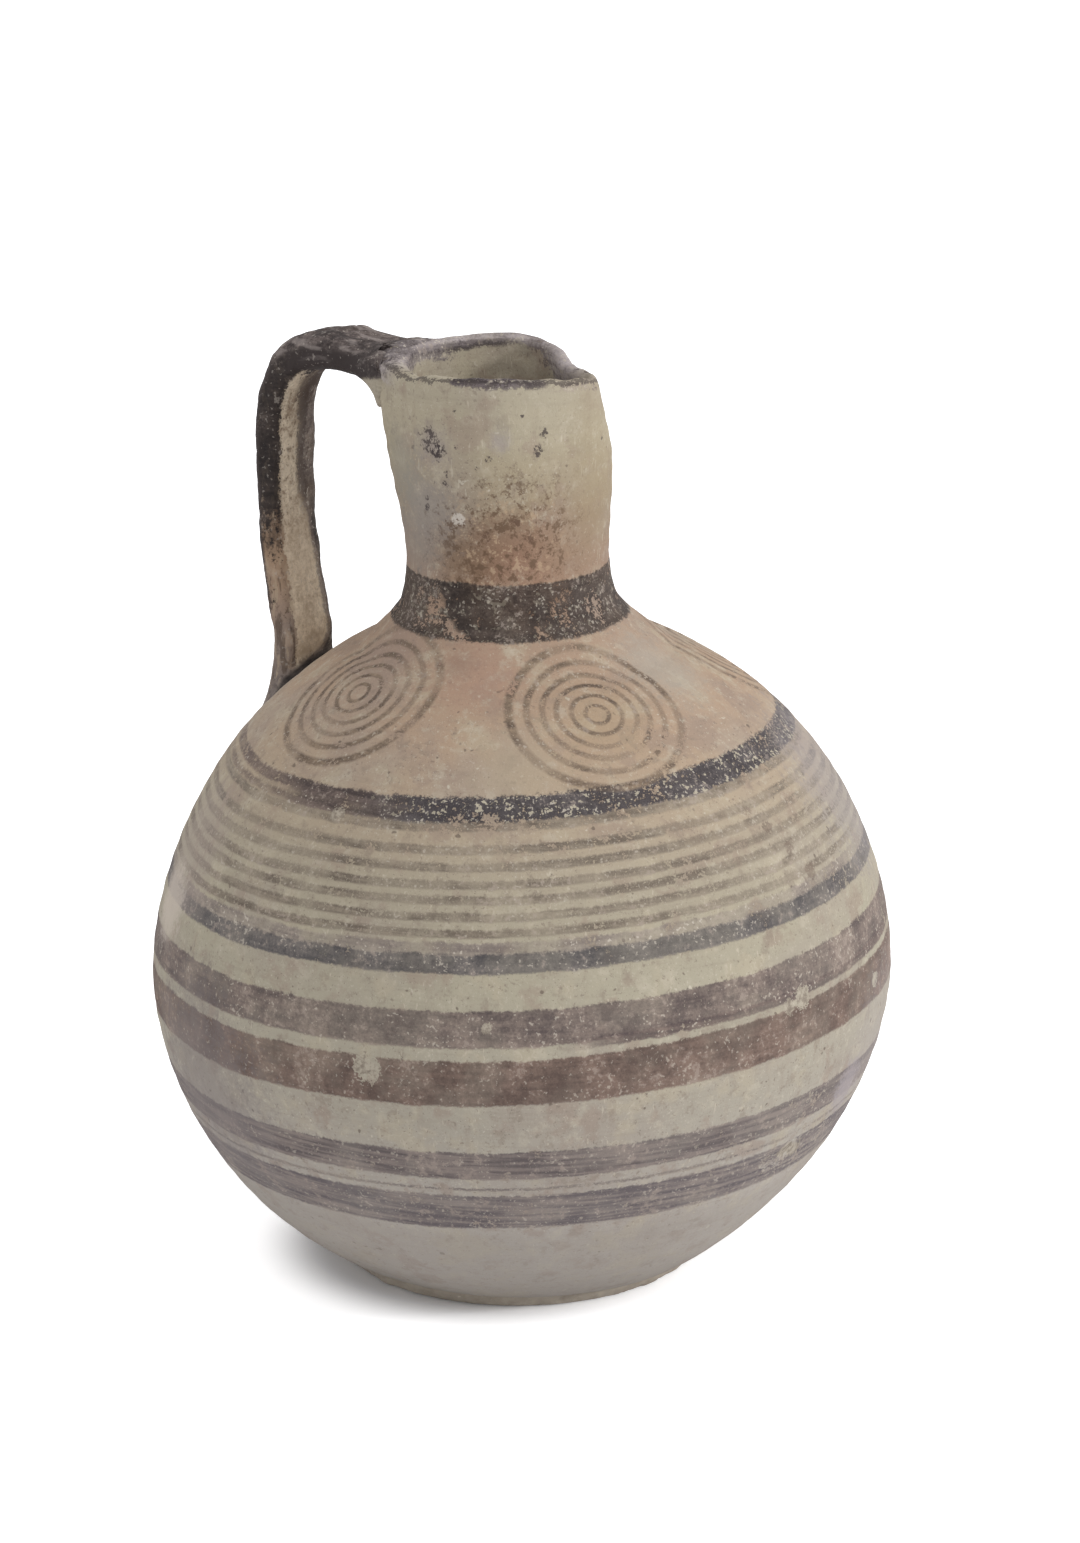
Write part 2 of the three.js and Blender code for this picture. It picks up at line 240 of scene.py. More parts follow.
outer_oval = oval(np.linspace(oval_angle(WALL_FOOT), oval_angle(OVAL_TOP), 60))
inner_angles = np.linspace(oval_angle(FLOOR_TOP, -WALL), oval_angle(OVAL_TOP_INSIDE, -WALL), 40)
outside = spline([*outer_oval, *NECK_KNOTS], LINE_STEP)
inside = spline([*oval(inner_angles, -WALL), *BORE_KNOTS], LINE_STEP)

lower_body = thrown(
    "lower_body_wall",
    [*[(radius, WALL_FOOT) for radius in UNDERSIDE_RINGS],
     *stretch(outside, WALL_FOOT, SEAM_HEIGHT, OUTER_STEP),
     *stretch(inside, FLOOR_TOP, SEAM_HEIGHT, INNER_STEP)[::-1],
     *[(radius, FLOOR_TOP) for radius in FLOOR_RINGS]],
    throwing)


def tone(red, green, blue):
    """Surface colour of a photographed sRGB colour, with the sRGB curve taken off."""
    curve = lambda v: v / 12.92 if v <= 0.04045 else ((v + 0.055) / 1.055) ** 2.4
    return [curve(v / 255) for v in (red, green, blue)] + [1.0]


PALE_GRAIN = tone(190, 181, 168)
PAINT_DUST = tone(160, 147, 137)
BARE_SLIP = tone(178, 169, 150)
CLAY_ROUGHNESS, CLAY_SHINE, BUMP_METRES = 0.88, 0.25, 0.0006
HAND_SWAY, RAGGED_EDGE, BAND_SOFTNESS, PAINT_HEIGHT = 1.2, 3.0, 0.3, 0.12


def add_node(tree, kind, *values, **settings):
    """One shader node: its settings made, then each value linked or set on its inputs in order."""
    made = tree.nodes.new("ShaderNode" + kind)
    for name, value in settings.items():
        setattr(made, name, value)
    for socket, value in zip(made.inputs, values):
        if isinstance(value, bpy.types.NodeSocket):
            tree.links.new(value, socket)
        elif value is not None:
            socket.default_value = value
    return made


class Skin:
    """A painted clay material built up in layers. Its methods add shader nodes and return output sockets. Its
    fields are noises about 0.5, from dust at half a millimetre to clouds at 30."""

    def __init__(self, name):
        self.material = bpy.data.materials.new(name)
        self.material.use_nodes = True
        self.tree = self.material.node_tree
        self.shader = self.tree.nodes["Principled BSDF"]
        place = self.node("TexCoord").outputs["Object"]
        self.mm = self.node("VectorMath", place, None, None, 1000.0, operation="SCALE").outputs[0]
        self.x, self.y, self.z = self.node("SeparateXYZ", self.mm).outputs
        across = self.times(self.x, math.cos(TURN)), self.times(self.y, math.sin(TURN))
        self.across = self.math("ADD", *across)
        self.dust = self.noise(0.55, 2, seed=1, roughness=0.65)
        self.fine = self.noise(1.5, 3, roughness=0.7)
        self.grit = self.noise(4.5, 5, seed=3, roughness=0.68)
        self.patch = self.noise(11, 4, seed=6, roughness=0.62)
        self.cloud = self.noise(30, 3, seed=5)
        self.brush = self.noise(18, 4, stretch=(1, 1, 18), seed=7)
        self.speck = self.math("MULTIPLY_ADD", self.dust, 0.45, self.times(self.fine, 0.55))
        self.worn = self.math("MULTIPLY_ADD", self.grit, 0.4, self.times(self.speck, 0.6))
        self.rough = self.math("SUBTRACT", self.worn, 0.5)
        self.sway = self.math("SUBTRACT", self.patch, 0.5)
        self.wear = self.math("MULTIPLY_ADD", self.sway, 0.3, self.worn)
        self.thin = self.step(self.noise(15, 3, seed=41), 0.44, 0.58)
        crowd = self.math("SUBTRACT", self.grit, 0.5)
        fleck = self.math("MULTIPLY_ADD", crowd, 0.75, self.noise(0.8, 1, seed=21))
        chip = self.math("MULTIPLY_ADD", crowd, 0.5, self.noise(1.15, 2, seed=22))
        cover = self.math("MULTIPLY_ADD", self.sway, 0.75, self.fine)
        self.fleck, self.chip = self.step(fleck, 0.66, 0.75), self.step(chip, 0.61, 0.66)
        self.dusty = self.times(self.step(cover, 0.58, 0.7), 0.45)
        self.height = self.times(self.speck, 0.6)

    def node(self, kind, *values, **settings):
        """One shader node of this material."""
        return add_node(self.tree, kind, *values, **settings)

    def math(self, operation, *values):
        """One sum on numbers or sockets."""
        return self.node("Math", *values, operation=operation).outputs[0]

    def times(self, product, *others):
        """Product of sockets or numbers, such as where masks meet."""
        for other in others:
            product = self.math("MULTIPLY", product, other)
        return product

    def step(self, value, low, high):
        """Smooth step of a value, 0 at low and 1 at high."""
        return self.node("MapRange", value, low, high, 0.0, 1.0, interpolation_type="SMOOTHSTEP").outputs[0]

    def noise(self, size, detail, stretch=(1, 1, 1), seed=0, roughness=0.55):
        """Noise about 0.5 of a size in millimetres, squeezed along each axis by stretch."""
        scale, shift = [s / size for s in stretch], [seed * 7.3, seed * 3.1, seed * 5.7]
        place = self.node("VectorMath", self.mm, scale, shift, operation="MULTIPLY_ADD").outputs[0]
        return self.node("TexNoise", place, None, 1.0, detail, roughness).outputs[0]

    def stored(self, name):
        """What the mesh keeps under a name."""
        return self.node("Attribute", attribute_name=name).outputs["Fac"]

    def away(self, point):
        """Distance from a point in millimetres."""
        return self.node("VectorMath", self.mm, list(point), operation="DISTANCE").outputs["Value"]

    def near(self, point, size, soft=0.6, ragged=2.4):
        """1 at a point, 0 from a distance on, with a ragged edge as soft as a share of that distance."""
        rough = self.math("MULTIPLY_ADD", self.rough, size * ragged, self.away(point))
        return self.step(rough, size * 0.95, size * (0.95 - soft))

    def grains(self, mask, fill=0.35):
        """A mask broken up into specks: nearly solid where it is 1, and ever fewer as it falls to 0."""
        return self.step(self.math("MULTIPLY_ADD", mask, fill, self.speck), 0.77, 0.83)

    def mix(self, share, first, second):
        """Two colours mixed by a share of the second."""
        return self.node("Mix", share, *[None] * 5, first, second, data_type="RGBA").outputs[2]

    def paint(self, mask, colour, share=None):
        """Covers the skin with a colour where the mask is 1, or with a share of it."""
        laid = mask if share is None else self.times(mask, share)
        self.colour = self.mix(laid, self.colour, colour)

    def marks(self, marks):
        """Paints each mark, which is a share of a colour where a field goes from low to high."""
        for field, low, high, share, colour in marks:
            self.paint(self.step(field, low, high), tone(*colour), share)

    def ramp(self, value, stops):
        """Colour ramp through (place, colour) stops."""
        made = self.node("ValToRGB", value)
        made.color_ramp.elements.remove(made.color_ramp.elements[1])
        made.color_ramp.elements[0].position, made.color_ramp.elements[0].color = stops[0]
        for place, colour in stops[1:]:
            made.color_ramp.elements.new(place).color = colour
        return made.outputs[0]

    def strokes(self, value, lines, start, span, inner, outer):
        """1 on each line (middle, half width) of a value from a start over a span. A line is full out to the
        inner share of its half width and fades out at the outer one."""
        stops = []
        for middle, half in lines:
            for side, share in ((-outer, 0), (-inner, 1), (inner, 1), (outer, 0)):
                stops.append(((middle + side * half - start) / span, (share, share, share, 1)))
        return self.ramp(self.times(self.math("SUBTRACT", value, start), 1 / span), stops)

    def level(self, tilt, ragged=1.0):
        """Height in millimetres along a band that rises to the photo's right by degrees, with a hand's sway
        and ragged edges."""
        slope = self.math("MULTIPLY_ADD", self.across, -math.tan(math.radians(tilt)), self.z)
        swaying = self.math("MULTIPLY_ADD", self.sway, HAND_SWAY, slope)
        return self.math("MULTIPLY_ADD", self.rough, RAGGED_EDGE * ragged, swaying)

    def mottle(self, dark, light, streaks=0.25, broad=0.35):
        """Two colours mixed by a share of broad patches, else by specks, and by a share of brush streaks."""
        blotch = self.math("MULTIPLY_ADD", self.patch, broad, self.times(self.worn, 1 - broad))
        mixed = self.math("MULTIPLY_ADD", self.math("SUBTRACT", self.brush, blotch), streaks, blotch)
        return self.mix(self.step(mixed, 0.41, 0.59), dark, light)

    def line(self, mask, dark, light, cover, streaks=0.25, flecks=0.7, sheer=0.15, chips=0.0, broad=0.35):
        """Paint within a mask, mottled, gone where the wear field raised by the cover above 1 is low, lightly
        laid in patches, with pale flecks and chips."""
        left = self.times(mask, self.step(self.math("ADD", self.wear, cover - 1.0), 0.37, 0.43))
        laid = self.times(left, self.math("MULTIPLY_ADD", self.thin, -sheer, 0.95))
        self.paint(laid, self.mottle(dark, light, streaks, broad))
        self.paint(left, PAINT_DUST, self.dusty)
        self.paint(self.times(left, flecks), PALE_GRAIN, self.fleck)
        if chips:
            self.paint(self.times(left, chips), BARE_SLIP, self.chip)
        self.height = self.math("MULTIPLY_ADD", left, PAINT_HEIGHT, self.height)

    def band(self, low, high, tilt, dark, light, cover, streaks=0.25, flecks=0.7, ragged=1.0, within=1.0,
             **laid):
        """A wheel-painted band between two heights, or the part of it within a mask."""
        z, soft = self.level(tilt, ragged), BAND_SOFTNESS
        mask = self.times(self.step(z, low - soft, low + soft), self.step(z, high + soft, high - soft))
        self.line(self.times(mask, self.shown, within), dark, light, cover, streaks, flecks, **laid)

    def finish(self, bump=0.35):
        """Links the layers to the shader."""
        relief = self.node("Bump", bump, BUMP_METRES, None, self.height)
        self.tree.links.new(relief.outputs[0], self.shader.inputs["Normal"])
        self.tree.links.new(self.colour, self.shader.inputs["Base Color"])
        self.shader.inputs["Roughness"].default_value = CLAY_ROUGHNESS
        self.shader.inputs["Specular IOR Level"].default_value = CLAY_SHINE


skin = Skin("painted_wall")
skin.shown = skin.step(skin.stored("outside"), 0.4, 0.6)


def on_wall(azimuth, z):
    """Point of the outer wall at an azimuth and a height."""
    turn = math.radians(azimuth) + TURN
    radius = np.interp(z, outside[:, 1], outside[:, 0])
    return settle(np.array([[radius * math.cos(turn), radius * math.sin(turn), z]]))[0]


def spot(azimuth, z, size, soft=0.6, ragged=2.4):
    """Ragged round spot of a size on the outer wall."""
    return skin.near(on_wall(azimuth, z), size, soft, ragged)


def flush(spots, soft=0.6):
    """Paints each spot, which is a share of a colour at a place on the wall."""
    for azimuth, z, size, colour, share in spots:
        skin.paint(spot(azimuth, z, size, soft), tone(*colour), share)


SLIP_TOP = 220
# Slip colour by height. Its lowest rows are paler than the slip above them: painted light that lifts the
# shade under the belly.
SLIP_WITH_PAINTED_LIGHT = [(0, 165, 158, 152), (18, 170, 163, 156), (45, 163, 156, 147), (62, 160, 153, 140),
        (92, 161, 154, 136), (112, 160, 150, 132), (124, 164, 148, 128), (138, 165, 142, 121),
        (152, 158, 135, 116), (168, 146, 122, 104), (180, 142, 124, 102), (190, 154, 141, 118),
        (200, 164, 154, 133), (214, 162, 153, 135)]
WEAR = [(-43, 81.2, 3.2, 0.5), (-40, 42, 3.6, 0.3), (-113, 73, 4.0, 0.6), (-20, 75, 2.2, 0.4),
        (-38, 44, 14, 0.05), (-8, 60, 26, 0.05), (-58, 134, 10, 0.05), (-95, 83, 30, -0.03),
        (0, 113, 42, 0.05), (-137, 160, 6, 0.08), (-116, 158, 5, 0.06), (-108, 163, 9, -0.1),
        (-84, 163, 8, -0.04), (-60, 157, 12, 0.02), (-50, 122, 14, -0.03)]
SLIP_MARKS = [(skin.cloud, 0.45, 0.65, 0.4, (150, 139, 130)), (skin.brush, 0.5, 0.7, 0.16, (128, 116, 104)),
              (skin.patch, 0.52, 0.66, 0.45, (172, 161, 140)),
              (skin.patch, 0.46, 0.36, 0.45, (142, 124, 112)),
              (skin.grit, 0.53, 0.68, 0.4, (182, 173, 156)), (skin.grit, 0.45, 0.33, 0.45, (130, 117, 105)),
              (skin.fine, 0.40, 0.30, 0.5, (118, 105, 95)), (skin.fine, 0.62, 0.72, 0.4, (192, 184, 168)),
              (skin.dust, 0.36, 0.26, 0.6, (96, 84, 76)), (skin.dust, 0.62, 0.74, 0.4, (200, 192, 178)),
              (skin.noise(9, 3, (3, 3, 0.5), 33), 0.56, 0.68, 0.12, (132, 113, 100)),
              (skin.noise(5, 2, (5, 5, 0.9), 31), 0.68, 0.72, 0.5, (188, 178, 160)),
              (skin.noise(2.4, 1, seed=61), 0.74, 0.79, 0.7, (96, 84, 74)),
              (skin.noise(2.0, 1, seed=62), 0.75, 0.8, 0.6, (196, 188, 172))]
FOOT_RUB = (skin.z, 34, 29, 0.5, (154, 147, 139))
FLUSHES = [(-94, 172, 16, (130, 100, 82), 0.75), (-70, 172, 16, (140, 110, 92), 0.6),
           (-116, 172, 13, (120, 98, 78), 0.7), (-90, 181, 9, (132, 112, 94), 0.4),
           (-137, 183, 15, (136, 129, 124), 0.7), (-150, 172, 14, (138, 129, 121), 0.6),
           (-160, 190, 14, (142, 138, 126), 0.5), (-30, 186, 18, (148, 134, 110), 0.5),
           (-38, 203, 13, (152, 140, 116), 0.5), (-75, 207, 16, (170, 162, 142), 0.3),
           (-92, 199.5, 4, (146, 138, 138), 0.5), (-48, 175, 16, (144, 124, 103), 0.4),
           (-148, 150, 16, (146, 126, 115), 0.5), (-105, 148, 15, (160, 128, 111), 0.5),
           (-30, 146, 18, (166, 158, 146), 0.6), (-90, 134, 16, (166, 152, 130), 0.5),
           (-67, 141, 16, (160, 142, 116), 0.4), (-112, 150, 6, (136, 112, 98), 0.5)]

skin.colour = skin.ramp(skin.times(skin.z, 1 / SLIP_TOP), [(z / SLIP_TOP, tone(*c)) for z, *c in SLIP_WITH_PAINTED_LIGHT])
for azimuth, z, size, amount in WEAR:
    skin.wear = skin.math("MULTIPLY_ADD", spot(azimuth, z, size, 0.3), -amount, skin.wear)
skin.marks(SLIP_MARKS)
hairs = skin.math("ABSOLUTE", skin.math("SUBTRACT", skin.noise(6, 2, seed=51), 0.5))
hairs = skin.times(skin.step(hairs, 0.017, 0.006), skin.step(skin.patch, 0.56, 0.62))
skin.paint(hairs, tone(190, 180, 164), 0.25)
skin.marks([FOOT_RUB])
flush(FLUSHES, 0.8)
scaly = spot(-92, 175, 22)
crust = skin.math("SUBTRACT", skin.noise(2.0, 3, seed=35), 0.5)
crust = skin.math("MULTIPLY_ADD", crust, 0.7, skin.worn)
skin.paint(skin.times(scaly, skin.step(crust, 0.48, 0.39)), tone(94, 74, 58), 0.75)
skin.paint(skin.times(scaly, skin.step(crust, 0.55, 0.62)), tone(178, 154, 128), 0.6)
for low, high, dark, light, cover in [
        (33.3, 43.0, tone(92, 85, 88), tone(132, 122, 117), 0.99),
        (44.6, 45.3, tone(108, 99, 97), tone(134, 125, 117), 0.94),
        (47.8, 55.0, tone(88, 80, 81), tone(128, 117, 112), 1.0),
]:
    skin.band(low, high, 1.9, dark, light, cover, 0.6, 0.4)
skin.band(66.9, 77.2, 2.62, tone(82, 67, 62), tone(122, 102, 92), 1.03, 0.15, 0.4, broad=0.45)

lower_body.data.materials.append(skin.material)
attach(lower_body, "root")
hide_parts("lower_body")


# Base disc: a low foot of the same clay, cut flat underneath and worn round its edge, luted under the belly.
# Its rim is rubbed and dented, and the flat faces aren't.
BASE_OUTLINE = [(0, 0), (20, 0), (38, 0), (41.6, 0.05), (42.5, 0.5), (43.1, 1.3), (43.7, 2.4), (44, 3.2),
                (43.6, 3.8), (42.6, 4.05), (20, 4.05), (0, 4.05)]
BASE_EDGE = slice(3, 10)
BASE_EDGE_STEP = 0.3
RUB_RADIUS, RUB_WIDTH, RUB_LOWEST = 40, 2.5, 0.2


def chipping(points):
    """Relief of the foot's rubbed edge: slow dents, and a bite wherever a finer grain is over 0.9."""
    rubbed = smooth((np.hypot(points[:, 0], points[:, 1]) - RUB_RADIUS) / RUB_WIDTH)
    rubbed = rubbed * (points[:, 2] > RUB_LOWEST)
    return rubbed * (0.16 * grain(points, 9, 21) - 0.3 * np.maximum(0, grain(points, 4, 22) - 0.9))


base_edge = spline(BASE_OUTLINE[BASE_EDGE], BASE_EDGE_STEP)
base_rows = [*BASE_OUTLINE[:BASE_EDGE.start], *base_edge, *BASE_OUTLINE[BASE_EDGE.stop:]]
base_disc = thrown("base_disc_foot", base_rows, chipping)
foot = Skin("foot_clay")
foot.colour = foot.ramp(foot.grit, [(0.3, tone(150, 140, 128)), (0.7, tone(178, 168, 154))])
foot.paint(foot.step(foot.fine, 0.62, 0.75), tone(194, 184, 170))
foot.finish()

base_disc.data.materials.append(foot.material)
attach(base_disc, "root")
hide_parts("base_disc")


# Upper body: the upper half of the belly, closed in on the wheel. Fired clay with a blue-black band under the
# shoulder, seven thin lines, a pale line, two wide bands, and four sets of rings drawn with a compass brush.
COLLAR_FOOT = 153.9
THIN_LINES = [(middle, 0.8) for middle in (103.7, 106.9, 110.2, 113.1, 116.4, 119.6, 123.7)]
LINES_FOOT, LINES_SPAN = 95.0, 35.0
RING_SETS = [(-67, 141.9), (-144.5, 142.4), (20, 141.5), (108, 142.0)]
RINGS = [(2.7, 0.45), (5.8, 0.5), (9.2, 0.55), (12.3, 0.6), (15.8, 0.65), (19.8, 0.85)]
RINGS_SPAN = 24.0
DRIPS = [(-43, 121, 5), (-40, 117, 6), (-37, 112, 7), (-34, 106, 6)]
CHIPS = [(-43, 81.2, 2.8), (-46, 80.4, 2.2), (-113.6, 73.3, 2.6), (-112.2, 72.6, 2.6), (-20, 75, 1.6),
         (-41, 42.4, 2.6), (-38.5, 41.4, 2.6), (-95, 84.2, 1.4), (-128, 122.3, 1.9)]

upper_body = thrown(
    "upper_body_wall",
    [*stretch(outside, SEAM_HEIGHT, COLLAR_FOOT, OUTER_STEP),
     *stretch(inside, SEAM_HEIGHT, COLLAR_FOOT, INNER_STEP)[::-1]],
    throwing)

for low, high, tilt, dark, light, cover in [
        (80.1, 87.9, 2.62, tone(80, 70, 70), tone(129, 115, 107), 1.02),
        (95.6, 99.7, 2.53, tone(66, 64, 68), tone(112, 106, 103), 1.01),
]:
    skin.band(low, high, tilt, dark, light, cover, 0.15, 0.5, broad=0.4)
lower_strip = skin.step(skin.across, 6, 26)
skin.band(78.8, 81.0, 2.62, tone(82, 71, 71), tone(124, 109, 101), 1.0, within=lower_strip)
skin.band(99.4, 101.9, 2.6, tone(112, 102, 98), tone(150, 140, 129), 0.975, sheer=0.5)

# Under the shoulder, from the photo's left: two brown lines, which then join in one band, which turns navy.
leftward = skin.math("MULTIPLY_ADD", skin.sway, 24, skin.across)
brown = skin.step(leftward, -22, -34)
joined = skin.times(skin.step(leftward, -58, -46), skin.step(leftward, -20, -32))
navy = skin.step(leftward, -38, -22)
for low, high, tilt, dark, light, cover, sheer, within in [
        (124.9, 126.1, 2.8, tone(98, 84, 78), tone(140, 126, 112), 0.97, 0.5, brown),
        (127.0, 129.0, 2.8, tone(84, 72, 70), tone(134, 118, 106), 0.97, 0.4, brown),
        (124.6, 129.1, 2.84, tone(66, 57, 56), tone(112, 98, 92), 1.0, 0.15, joined),
]:
    skin.band(low, high, tilt, dark, light, cover, sheer=sheer, within=within)
skin.band(124.4, 129.1, 2.84, tone(44, 42, 48), tone(84, 79, 81), 0.985, 0.15, ragged=1.7, within=navy,
          sheer=0.0, chips=0.8)

lines = skin.strokes(skin.level(2.7, 0.7), THIN_LINES, LINES_FOOT, LINES_SPAN, 0.8, 1.3)
lines = skin.times(lines, skin.shown)
skin.line(lines, tone(88, 78, 70), tone(142, 131, 116), 0.96, flecks=0.4, sheer=0.4)
for azimuth, z, size in DRIPS:
    drip = skin.grains(spot(azimuth, z, size, 0.9))
    skin.paint(drip, skin.mottle(tone(84, 70, 62), tone(126, 110, 98)), 0.6)
for azimuth, z in RING_SETS:
    shaky = skin.math("MULTIPLY_ADD", skin.math("ADD", skin.fine, -0.5), 0.7, skin.away(on_wall(azimuth, z)))
    rings = skin.times(skin.strokes(shaky, RINGS, 0.0, RINGS_SPAN, 0.7, 1.6), skin.shown)
    skin.line(rings, tone(74, 62, 56), tone(140, 122, 103), 0.96, flecks=0.4, sheer=0.45)
for azimuth, z, size in CHIPS:
    bare_clay = skin.ramp(skin.fine, [(0.4, tone(128, 118, 106)), (0.56, tone(168, 159, 144))])
    skin.paint(spot(azimuth, z, size, 0.25, 5.0), bare_clay, 0.85)

upper_body.data.materials.append(skin.material)
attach(upper_body, "root")
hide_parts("upper_body")


# Neck collar: the coil of clay that joins neck and shoulder, smoothed into both and painted black. The paint
# is worn and speckled.
COLLAR_TOP = 162.3
COLLAR_STEP, COLLAR_INNER_STEP = 0.45, 1.5

neck_collar = thrown(
    "neck_collar_ring",
    [*stretch(outside, COLLAR_FOOT, COLLAR_TOP, COLLAR_STEP),
     *stretch(inside, COLLAR_FOOT, COLLAR_TOP, COLLAR_INNER_STEP)[::-1]],
    throwing)
skin.band(154.3, 166.6, 0.9, tone(34, 29, 29), tone(74, 65, 61), 0.985, 0.2, 0.45, 1.2, sheer=0.1, chips=0.2)

neck_collar.data.materials.append(skin.material)
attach(neck_collar, "root")
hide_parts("neck_collar")


# Neck and mouth: one thrown tube, leant towards the handle, its rim folded in beside the spout. The lip is
# painted black outside and a little inside, and the paint has mostly gone. Below it lie soot spots and pits.
NECK_STEP, NECK_INNER_STEP = 0.6, 1.1
LIP_ROWS, LIP_BLUNTNESS = 17, 0.8
EDGE_DEPTH = 10
SOOT = [(-131, 197.8, 11), (-127.5, 196.2, 8), (-68.9, 201.2, 4.5), (-71.5, 197.8, 5.5), (-117.5, 205.8, 2.2),
        (-80.8, 205, 1.6), (-56.3, 201, 2.4), (-26.2, 197.3, 1.5), (-115.7, 197.8, 2.2), (-98.3, 195.6, 3.4),
        (-121.7, 191.6, 4), (-69.4, 189.2, 2.4), (-135.3, 185.4, 4), (-135.6, 183, 4), (-104, 193.5, 3.5),
        (-123, 189, 5)]
PITS = [(-71.1, 173.8, 4), (-79.2, 173.6, 3.6), (-84.2, 181.3, 4), (-76, 177, 5), (-60, 176, 4),
        (-100, 178, 5), (-110, 176, 4)]
RIM_PAINT = [(-106, 213.2, 6.5), (-95, 213.2, 6.5), (-84, 213, 5.5), (-73, 212.6, 3.5), (-117, 213, 2.5)]
# Soft patches on the belly: the two lavender ones at the right, at -5 and -15 degrees, are painted sheen; the
# others lighten or darken it towards its left edge, and one small lavender spot sits low at -26 degrees.
SHEEN_AND_EDGE_PATCHES = [(-5, 116, 30, (150, 144, 146), 0.45), (-15, 60, 26, (158, 150, 148), 0.3),
           (-165, 104, 24, (160, 147, 139), 0.4), (-166, 91, 13, (200, 188, 176), 0.6),
           (-148, 55, 34, (126, 118, 117), 0.5), (-26, 52, 9, (158, 150, 152), 0.6)]

outer_wall = stretch(outside, COLLAR_TOP, LIP_HEIGHT, NECK_STEP)
inner_wall = stretch(inside, COLLAR_TOP, LIP_HEIGHT, NECK_INNER_STEP)[::-1]
lip_middle = (outer_wall[-1, 0] + inner_wall[0, 0]) / 2
lip_half = (outer_wall[-1, 0] - inner_wall[0, 0]) / 2
bend = np.linspace(0, math.pi, LIP_ROWS)[1:-1]
lip_rise = (RIM_HEIGHT - LIP_HEIGHT) * np.sin(bend) ** LIP_BLUNTNESS
lip = np.stack([lip_middle + lip_half * np.cos(bend), LIP_HEIGHT + lip_rise], -1)
neck = thrown("neck_and_mouth_tube", [*outer_wall, *lip, *inner_wall], throwing)

# The edge goes from 0 at its depth outside over 1 on the crest to 2 at its depth inside.
drop = (RIM_HEIGHT - np.concatenate([outer_wall, lip, inner_wall])[:, 1]) / EDGE_DEPTH
over = np.where(np.arange(len(drop)) < len(outer_wall) + len(lip) // 2, 1 - drop, 1 + drop)
store(neck, "edge", np.repeat(np.clip(over, 0, 2), SIDES))

skin.paint(spot(-131, 197, 8, 0.9), tone(138, 128, 130), 0.4)
for marks, colour in ((SOOT, tone(66, 58, 58)), (PITS, tone(92, 70, 57))):
    for azimuth, z, size in marks:
        skin.paint(skin.grains(skin.times(spot(azimuth, z, size, 0.9), skin.shown), 0.31), colour, 0.85)
skin.paint(skin.grains(spot(-114.9, 181.3, 5, 0.9)), tone(196, 188, 178), 0.8)

edge = skin.math("MULTIPLY_ADD", skin.rough, 0.7, skin.stored("edge"))
depth = skin.math("SUBTRACT", skin.times(skin.y, math.cos(TURN)), skin.times(skin.x, math.sin(TURN)))
folded = skin.math("MULTIPLY_ADD", spot(22, 212, 15, 0.5), -0.7, edge)
lip_far = skin.times(skin.step(edge, 0.5, 0.65), skin.step(folded, 1.24, 1.16), skin.step(depth, -9, 3))
skin.line(lip_far, tone(100, 91, 92), tone(172, 163, 163), 1.02, chips=0.4)
inner_line = skin.times(skin.step(edge, 1.1, 1.16), skin.step(edge, 1.3, 1.22), skin.step(skin.across, 6, -6))
skin.line(inner_line, tone(58, 51, 52), tone(120, 110, 106), 0.97)
lip_near = skin.times(skin.step(edge, 0.8, 0.86), skin.step(edge, 1.15, 1.05))
for azimuth, z, size in RIM_PAINT:
    rim_spot = skin.times(spot(azimuth, z, size, 0.4), lip_near)
    skin.line(rim_spot, tone(46, 40, 44), tone(112, 102, 103), 1.0, chips=0.4)
pitted = skin.times(skin.step(edge, 0.72, 0.8), spot(-40, 211.5, 17))
skin.line(pitted, tone(104, 92, 84), tone(166, 154, 140), 0.91, flecks=0.3, chips=0.6)
saddle_paint = skin.times(spot(152, 211, 18, 0.35), skin.step(edge, 0.5, 0.62), skin.step(edge, 1.5, 1.4))
skin.line(saddle_paint, tone(66, 58, 60), tone(146, 137, 137), 1.02)
lip_line = skin.times(skin.step(edge, 0.88, 0.91), skin.step(edge, 0.99, 0.96), skin.step(depth, 3, -3))
skin.paint(lip_line, tone(62, 54, 54), 0.7)
flush(SHEEN_AND_EDGE_PATCHES)
skin.finish(0.5)

neck.data.materials.append(skin.material)
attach(neck, "root")
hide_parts("neck_and_mouth")


# Handle: one pulled strap of clay, bent from rim to shoulder and smeared onto both, with the clay that lutes
# its ends. It is painted black along its edges and on its arm, worn to rust brown below, and pale inside.
# Along is the way down the strap, face goes from -1 inside to 1 outside, side from -1 near to 1 far.
HANDLE_KNOTS = [(26, 209.4), (30, 209.7), (35.1, 209.7), (46.9, 210.5), (56.1, 207.6), (61.1, 199.2),
                (62.1, 187), (62.1, 169.3), (60.7, 156), (58.6, 143.3), (58.8, 134), (59.6, 128), (60.2, 125)]
HANDLE_STEP = 0.45
SECTION_POINTS = 96
SECTION_SQUARE = 3.0
STRAP_RUNS = [0, 20, 45, 80, 110, 135]
STRAP_WIDTHS = [20, 19, 18, 17.5, 19, 20]
STRAP_THICKNESSES = [7.4, 8.2, 8.6, 8.6, 8.2, 6.6]
STRAP_LUMPS = [(0.15, 13, 41), (0.05, 4, 42), (0.02, 1.6, 43)]
HANDLE_NUB, NUB_HEIGHT, NUB_SIZE = (-66.4, -4.0, 178.0), 0.7, 1.6
